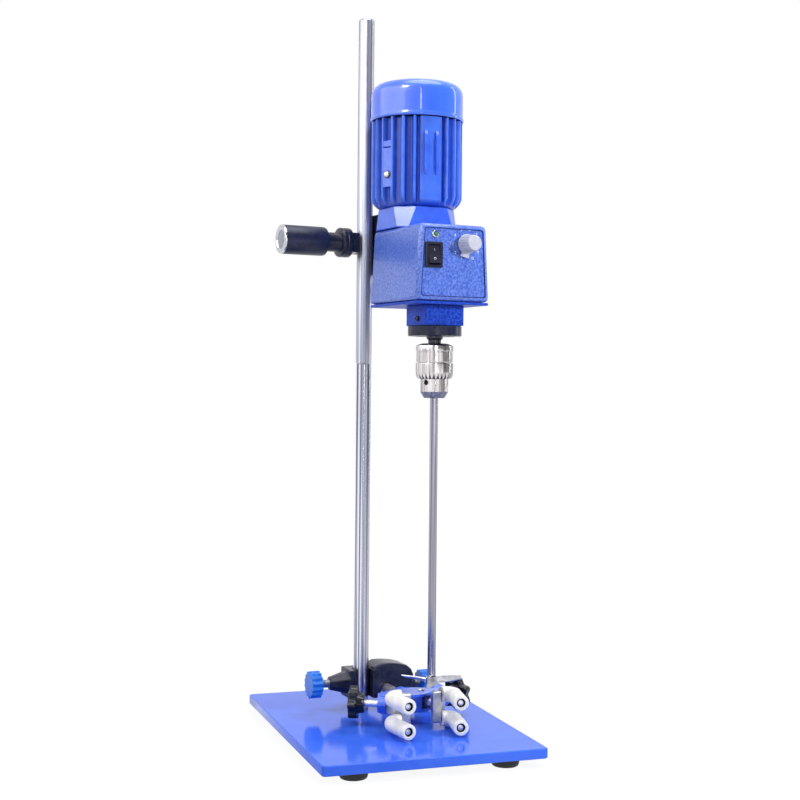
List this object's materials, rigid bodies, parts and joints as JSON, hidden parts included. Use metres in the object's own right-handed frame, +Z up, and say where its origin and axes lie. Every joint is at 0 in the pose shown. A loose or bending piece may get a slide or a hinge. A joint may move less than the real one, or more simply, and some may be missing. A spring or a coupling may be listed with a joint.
{
  "type": "overhead stirrer",
  "caption": "Overhead laboratory stirrer with a finned motor, belt-driven chuck and propeller rod, clamped to a two-piece column on a plate stand that also carries a finger clamp for a flask.",
  "frame": {"origin": "centre of the base plate's outline, on the surface that the four feet stand on", "axes": "+Z up along the column, +X to the operator's right, -Y towards the operator"},
  "size_m": [0.214, 0.292, 0.718],
  "materials": {
    "blue_enamel": "glossy royal blue enamel",
    "blue_hammer": "royal blue hammer paint with a fine orange peel",
    "black_metal": "satin black paint",
    "chrome_steel": "polished, with faint drawn streaks",
    "satin_steel": "satin nickel",
    "dark_steel": "oiled dark steel",
    "bare_aluminium": "bare cast aluminium",
    "copper_winding": "varnished copper and laminations",
    "black_rubber": "matte",
    "black_plastic": "glossy black",
    "blue_plastic": "satin blue",
    "grey_plastic": "silver grey",
    "lamp_green": "translucent green lens in a chromed rim",
    "board_green": "solder mask",
    "white_vinyl": "soft matte vinyl"
  },
  "bodies": {
    "stand": {"base_plate": "blue_enamel", "foot_1": "black_rubber", "foot_2": "black_rubber", "foot_3": "black_rubber", "foot_4": "black_rubber", "column_lower": "chrome_steel", "column_bolt": "satin_steel"},
    "column_top": {"column_upper": "chrome_steel"},
    "head": {"control_housing": "blue_hammer", "base_cover": "blue_hammer", "front_panel": "blue_hammer", "switch_bezel": "black_plastic", "pilot_light": "lamp_green", "potentiometer": "satin_steel", "cable_gland": "black_plastic", "control_board": "board_green", "motor_adapter": "blue_enamel", "motor_body": "blue_enamel", "motor_bearing_lower": "satin_steel", "motor_bearing_upper": "satin_steel", "stator": "copper_winding", "fan_cowl": "blue_enamel", "drive_belt": "black_rubber", "clamp_bracket": "black_metal", "output_housing": "blue_hammer", "spindle_bearing": "satin_steel", "output_flange": "black_metal"},
    "clamp_handle": {"clamp_screw": "black_metal", "clamp_grip": "black_rubber"},
    "rotor_group": {"rotor": "dark_steel", "cooling_fan": "black_plastic", "motor_pulley": "bare_aluminium"},
    "spindle_group": {"spindle": "dark_steel", "spindle_pulley": "bare_aluminium", "chuck_body": "satin_steel", "stirring_rod": "chrome_steel", "impeller": "chrome_steel"},
    "chuck_sleeve_ring": {"chuck_sleeve": "satin_steel"},
    "grip_jaw_1": {"chuck_jaw_1": "dark_steel"},
    "grip_jaw_2": {"chuck_jaw_2": "dark_steel"},
    "grip_jaw_3": {"chuck_jaw_3": "dark_steel"},
    "speed_dial": {"speed_knob": "grey_plastic"},
    "rocker": {"power_rocker": "black_plastic"},
    "cross_clamp": {"bosshead": "black_metal"},
    "left_boss_screw": {"boss_knob_left": "blue_plastic"},
    "right_boss_screw": {"boss_knob_right": "blue_plastic"},
    "flask_clamp": {"clamp_rod": "chrome_steel", "clamp_body": "blue_enamel", "pivot_pin_left": "satin_steel", "pivot_pin_right": "satin_steel"},
    "left_jaw_screw": {"jaw_screw_left": "chrome_steel", "star_knob_left": "black_plastic"},
    "right_jaw_screw": {"jaw_screw_right": "chrome_steel", "star_knob_right": "black_plastic"},
    "left_jaw": {"jaw_left": "bare_aluminium", "finger_left_lower": "white_vinyl", "finger_left_upper": "white_vinyl"},
    "right_jaw": {"jaw_right": "bare_aluminium", "finger_right_lower": "white_vinyl", "finger_right_upper": "white_vinyl"}
  },
  "joints": [
    {"name": "head_swivel", "type": "hinge", "parent": "stand", "child": "column_top", "pos_m": [-0.0125, 0.051, 0.368], "axis": [0, 0, 1], "range_deg": [-180, 180]},
    {"name": "head_height", "type": "slide", "parent": "column_top", "child": "head", "axis": [0, 0, 1], "range_m": [0, 0.19]},
    {"name": "clamp_handle_turn", "type": "hinge", "parent": "head", "child": "clamp_handle", "pos_m": [-0.0125, 0.051, 0.49], "axis": [0.991, 0.134, 0], "range_deg": [-540, 0]},
    {"name": "spindle_spin", "type": "hinge", "parent": "head", "child": "spindle_group", "pos_m": [0.03177, -0.03757, 0.418], "axis": [0, 0, 1], "continuous": true},
    {"name": "motor_spin", "type": "hinge", "parent": "head", "child": "rotor_group", "pos_m": [0.02614, 0.00405, 0.518], "axis": [0, 0, 1], "continuous": true},
    {"name": "chuck_sleeve_turn", "type": "hinge", "parent": "spindle_group", "child": "chuck_sleeve_ring", "pos_m": [0.03177, -0.03757, 0.3605], "axis": [0, 0, 1], "range_deg": [0, 720]},
    {"name": "speed_knob_turn", "type": "hinge", "parent": "head", "child": "speed_dial", "pos_m": [0.05194, -0.06733, 0.4815], "axis": [-0.134, 0.991, 0], "range_deg": [0, 300]},
    {"name": "power_rocker_tilt", "type": "hinge", "parent": "head", "child": "rocker", "pos_m": [0.01725, -0.07354, 0.47], "axis": [0.991, 0.134, 0], "range_deg": [0, 20]},
    {"name": "bosshead_swivel", "type": "hinge", "parent": "stand", "child": "cross_clamp", "pos_m": [-0.0125, 0.051, 0.046], "axis": [0, 0, 1], "range_deg": [-180, 180]},
    {"name": "boss_knob_left_turn", "type": "hinge", "parent": "cross_clamp", "child": "left_boss_screw", "pos_m": [-0.0125, 0.051, 0.046], "axis": [0.9962, 0.0872, 0], "range_deg": [-360, 0]},
    {"name": "boss_knob_right_turn", "type": "hinge", "parent": "cross_clamp", "child": "right_boss_screw", "pos_m": [0.01141, 0.05309, 0.039], "axis": [0.9962, 0.0872, 0], "range_deg": [0, 360]},
    {"name": "flask_clamp_slide", "type": "slide", "parent": "cross_clamp", "child": "flask_clamp", "axis": [0.0872, -0.9962, 0], "range_m": [-0.02, 0.045]},
    {"name": "jaw_screw_left_turn", "type": "hinge", "parent": "flask_clamp", "child": "left_jaw_screw", "pos_m": [-0.00046, -0.02926, 0.039], "axis": [-0.8988, 0.4384, 0], "range_deg": [-540, 270]},
    {"name": "jaw_screw_right_turn", "type": "hinge", "parent": "flask_clamp", "child": "right_jaw_screw", "pos_m": [0.0374, -0.02594, 0.039], "axis": [0.809, 0.5878, 0], "range_deg": [-540, 540]},
    {"name": "jaw_left_swing", "type": "hinge", "parent": "flask_clamp", "child": "left_jaw", "pos_m": [0.00547, -0.01669, 0.039], "axis": [0, 0, 1], "range_deg": [-4, 8]},
    {"name": "jaw_right_swing", "type": "hinge", "parent": "flask_clamp", "child": "right_jaw", "pos_m": [0.02938, -0.0146, 0.039], "axis": [0, 0, 1], "range_deg": [-8, 8]},
    {"name": "chuck_jaw_1_slide", "type": "slide", "parent": "spindle_group", "child": "grip_jaw_1", "axis": [0.206, 0.0279, 0.9781], "range_m": [0, 0.0035]},
    {"name": "chuck_jaw_2_slide", "type": "slide", "parent": "spindle_group", "child": "grip_jaw_2", "axis": [-0.1271, 0.1645, 0.9781], "range_m": [0, 0.0035]},
    {"name": "chuck_jaw_3_slide", "type": "slide", "parent": "spindle_group", "child": "grip_jaw_3", "axis": [-0.0789, -0.1924, 0.9781], "range_m": [0, 0.0035]}
  ],
  "couplings": [
    {"joint": "motor_spin", "follows": "spindle_spin", "ratio": 1.5},
    {"joint": "chuck_jaw_1_slide", "follows": "chuck_sleeve_turn", "m_per_rad": 0.000278},
    {"joint": "chuck_jaw_2_slide", "follows": "chuck_sleeve_turn", "m_per_rad": 0.000278},
    {"joint": "chuck_jaw_3_slide", "follows": "chuck_sleeve_turn", "m_per_rad": 0.000278},
    {"joint": "jaw_left_swing", "follows": "jaw_screw_left_turn", "ratio": -0.0143},
    {"joint": "jaw_right_swing", "follows": "jaw_screw_right_turn", "ratio": 0.0143}
  ]
}
